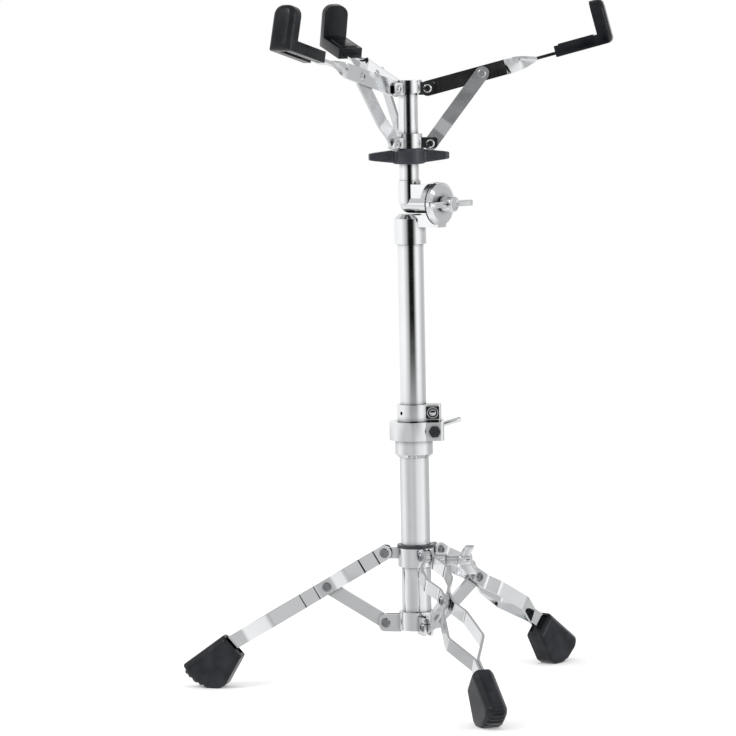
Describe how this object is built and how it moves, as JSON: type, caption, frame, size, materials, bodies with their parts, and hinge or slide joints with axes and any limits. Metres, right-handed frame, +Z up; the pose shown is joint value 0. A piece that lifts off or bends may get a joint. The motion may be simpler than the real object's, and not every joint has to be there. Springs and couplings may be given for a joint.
{
  "type": "snare drum stand",
  "caption": "Folding drum stand: bowed-strap tripod with rubber feet, telescoping column with clamp, tilter, and a basket of twisted arms with rubber hooks that closes by a wing nut.",
  "frame": {"origin": "on the column's axis at floor level", "axes": "+Z up along the column; the pictured side is seen along +Y with +X to the right"},
  "size_m": [0.4298, 0.4145, 0.6705],
  "materials": {
    "chrome": "polished plating",
    "rubber": "matt moulded",
    "black_plastic": "moulded, slightly satin",
    "black_steel": "black oxide"
  },
  "bodies": {
    "base": {"base_tube": "chrome", "lower_hub": "chrome", "lower_hub_pins": "chrome", "height_clamp": "chrome", "clamp_bushing": "black_plastic", "clamp_bolt": "black_steel"},
    "clamp_nut": {"clamp_wing_nut": "chrome"},
    "collar": {"tripod_collar": "chrome", "collar_ring": "black_plastic"},
    "lock_screw": {"collar_lock_screw": "chrome"},
    "mast": {"mid_tube": "chrome", "memory_lock": "chrome", "memory_lock_screw": "chrome", "tilter_lower": "chrome"},
    "tilt_screw": {"tilt_bolt": "chrome"},
    "tilter": {"tilter_upper": "chrome", "basket_rod": "chrome", "upper_hub": "chrome", "upper_hub_pins": "chrome"},
    "slide_hub": {"basket_hub": "chrome", "basket_hub_pins": "chrome"},
    "wing_nut": {"basket_nut": "black_plastic"},
    "leg_1": {"leg_1_strap_a": "chrome", "leg_1_strap_b": "chrome", "leg_1_foot": "rubber", "leg_1_pins": "chrome"},
    "strut_1": {"strut_1": "chrome", "strut_1_rivet": "chrome"},
    "leg_2": {"leg_2_strap_a": "chrome", "leg_2_strap_b": "chrome", "leg_2_foot": "rubber", "leg_2_pins": "chrome"},
    "strut_2": {"strut_2": "chrome", "strut_2_rivet": "chrome"},
    "leg_3": {"leg_3_strap_a": "chrome", "leg_3_strap_b": "chrome", "leg_3_foot": "rubber", "leg_3_pins": "chrome"},
    "strut_3": {"strut_3": "chrome", "strut_3_rivet": "chrome"},
    "arm_1": {"arm_1": "chrome", "arm_1_rivet": "chrome", "hook_1": "rubber"},
    "stay_1": {"stay_1": "chrome", "stay_1_rivet": "chrome"},
    "arm_2": {"arm_2": "chrome", "arm_2_rivet": "chrome", "hook_2": "rubber"},
    "stay_2": {"stay_2": "chrome", "stay_2_rivet": "chrome"},
    "arm_3": {"arm_3": "chrome", "arm_3_rivet": "chrome", "hook_3": "rubber"},
    "stay_3": {"stay_3": "chrome", "stay_3_rivet": "chrome"}
  },
  "joints": [
    {"name": "tripod_fold", "type": "slide", "parent": "base", "child": "collar", "axis": [0, 0, 1], "range_m": [0, 0.0638]},
    {"name": "lock_screw_turn", "type": "hinge", "parent": "collar", "child": "lock_screw", "pos_m": [0, 0, 0.1304], "axis": [0.9763, -0.2164, 0], "continuous": true},
    {"name": "clamp_nut_turn", "type": "hinge", "parent": "base", "child": "clamp_nut", "pos_m": [0.02, 0, 0.257], "axis": [0, 1, 0], "continuous": true},
    {"name": "height_slide", "type": "slide", "parent": "base", "child": "mast", "axis": [0, 0, 1], "range_m": [0, 0.11]},
    {"name": "tilt", "type": "hinge", "parent": "mast", "child": "tilter", "pos_m": [0, 0, 0.4777], "axis": [0.788, -0.6157, 0], "range_deg": [-60, 60]},
    {"name": "tilt_bolt_turn", "type": "hinge", "parent": "mast", "child": "tilt_screw", "pos_m": [0, 0, 0.4777], "axis": [0.788, -0.6157, 0], "continuous": true},
    {"name": "basket_close", "type": "slide", "parent": "tilter", "child": "slide_hub", "axis": [0, 0, 1], "range_m": [0, 0.017]},
    {"name": "nut_turn", "type": "hinge", "parent": "slide_hub", "child": "wing_nut", "pos_m": [0, 0, 0.523], "axis": [0, 0, 1], "range_deg": [0, 2040.5]},
    {"name": "leg_1_swing", "type": "hinge", "parent": "collar", "child": "leg_1", "pos_m": [-0.02987, 0.00662, 0.1364], "axis": [-0.2164, -0.9763, 0], "range_deg": [0, 47.49]},
    {"name": "strut_1_swing", "type": "hinge", "parent": "base", "child": "strut_1", "pos_m": [-0.02987, 0.00662, 0.0676], "axis": [0.2164, 0.9763, 0], "range_deg": [0, 47.49]},
    {"name": "leg_2_swing", "type": "hinge", "parent": "collar", "child": "leg_2", "pos_m": [0.0092, -0.02918, 0.1364], "axis": [0.9537, 0.3007, 0], "range_deg": [0, 47.49]},
    {"name": "strut_2_swing", "type": "hinge", "parent": "base", "child": "strut_2", "pos_m": [0.0092, -0.02918, 0.0676], "axis": [-0.9537, -0.3007, 0], "range_deg": [0, 47.49]},
    {"name": "leg_3_swing", "type": "hinge", "parent": "collar", "child": "leg_3", "pos_m": [0.02067, 0.02256, 0.1364], "axis": [-0.7373, 0.6756, 0], "range_deg": [0, 47.49]},
    {"name": "strut_3_swing", "type": "hinge", "parent": "base", "child": "strut_3", "pos_m": [0.02067, 0.02256, 0.0676], "axis": [0.7373, -0.6756, 0], "range_deg": [0, 47.49]},
    {"name": "arm_1_swing", "type": "hinge", "parent": "tilter", "child": "arm_1", "pos_m": [0.01943, -0.00256, 0.5883], "axis": [-0.1305, -0.9914, 0], "range_deg": [0, 32.83]},
    {"name": "stay_1_swing", "type": "hinge", "parent": "slide_hub", "child": "stay_1", "pos_m": [0.02132, -0.00281, 0.5351], "axis": [-0.1305, -0.9914, 0], "range_deg": [0, 12.61]},
    {"name": "arm_2_swing", "type": "hinge", "parent": "tilter", "child": "arm_2", "pos_m": [-0.0075, 0.01811, 0.5883], "axis": [0.9239, 0.3827, 0], "range_deg": [0, 32.83]},
    {"name": "stay_2_swing", "type": "hinge", "parent": "slide_hub", "child": "stay_2", "pos_m": [-0.00823, 0.01986, 0.5351], "axis": [0.9239, 0.3827, 0], "range_deg": [0, 12.61]},
    {"name": "arm_3_swing", "type": "hinge", "parent": "tilter", "child": "arm_3", "pos_m": [-0.01193, -0.01555, 0.5883], "axis": [-0.7934, 0.6088, 0], "range_deg": [0, 32.83]},
    {"name": "stay_3_swing", "type": "hinge", "parent": "slide_hub", "child": "stay_3", "pos_m": [-0.01309, -0.01706, 0.5351], "axis": [-0.7934, 0.6088, 0], "range_deg": [0, 12.61]}
  ],
  "couplings": [
    {"joint": "nut_turn", "follows": "basket_close", "rad_per_m": 2094.4},
    {"joint": "leg_1_swing", "follows": "tripod_fold", "rad_per_m": 12.977},
    {"joint": "strut_1_swing", "follows": "tripod_fold", "rad_per_m": 12.977},
    {"joint": "leg_2_swing", "follows": "tripod_fold", "rad_per_m": 12.977},
    {"joint": "strut_2_swing", "follows": "tripod_fold", "rad_per_m": 12.977},
    {"joint": "leg_3_swing", "follows": "tripod_fold", "rad_per_m": 12.977},
    {"joint": "strut_3_swing", "follows": "tripod_fold", "rad_per_m": 12.977},
    {"joint": "arm_1_swing", "follows": "basket_close", "rad_per_m": 33.657},
    {"joint": "stay_1_swing", "follows": "basket_close", "rad_per_m": 12.9},
    {"joint": "arm_2_swing", "follows": "basket_close", "rad_per_m": 33.657},
    {"joint": "stay_2_swing", "follows": "basket_close", "rad_per_m": 12.9},
    {"joint": "arm_3_swing", "follows": "basket_close", "rad_per_m": 33.657},
    {"joint": "stay_3_swing", "follows": "basket_close", "rad_per_m": 12.9}
  ]
}
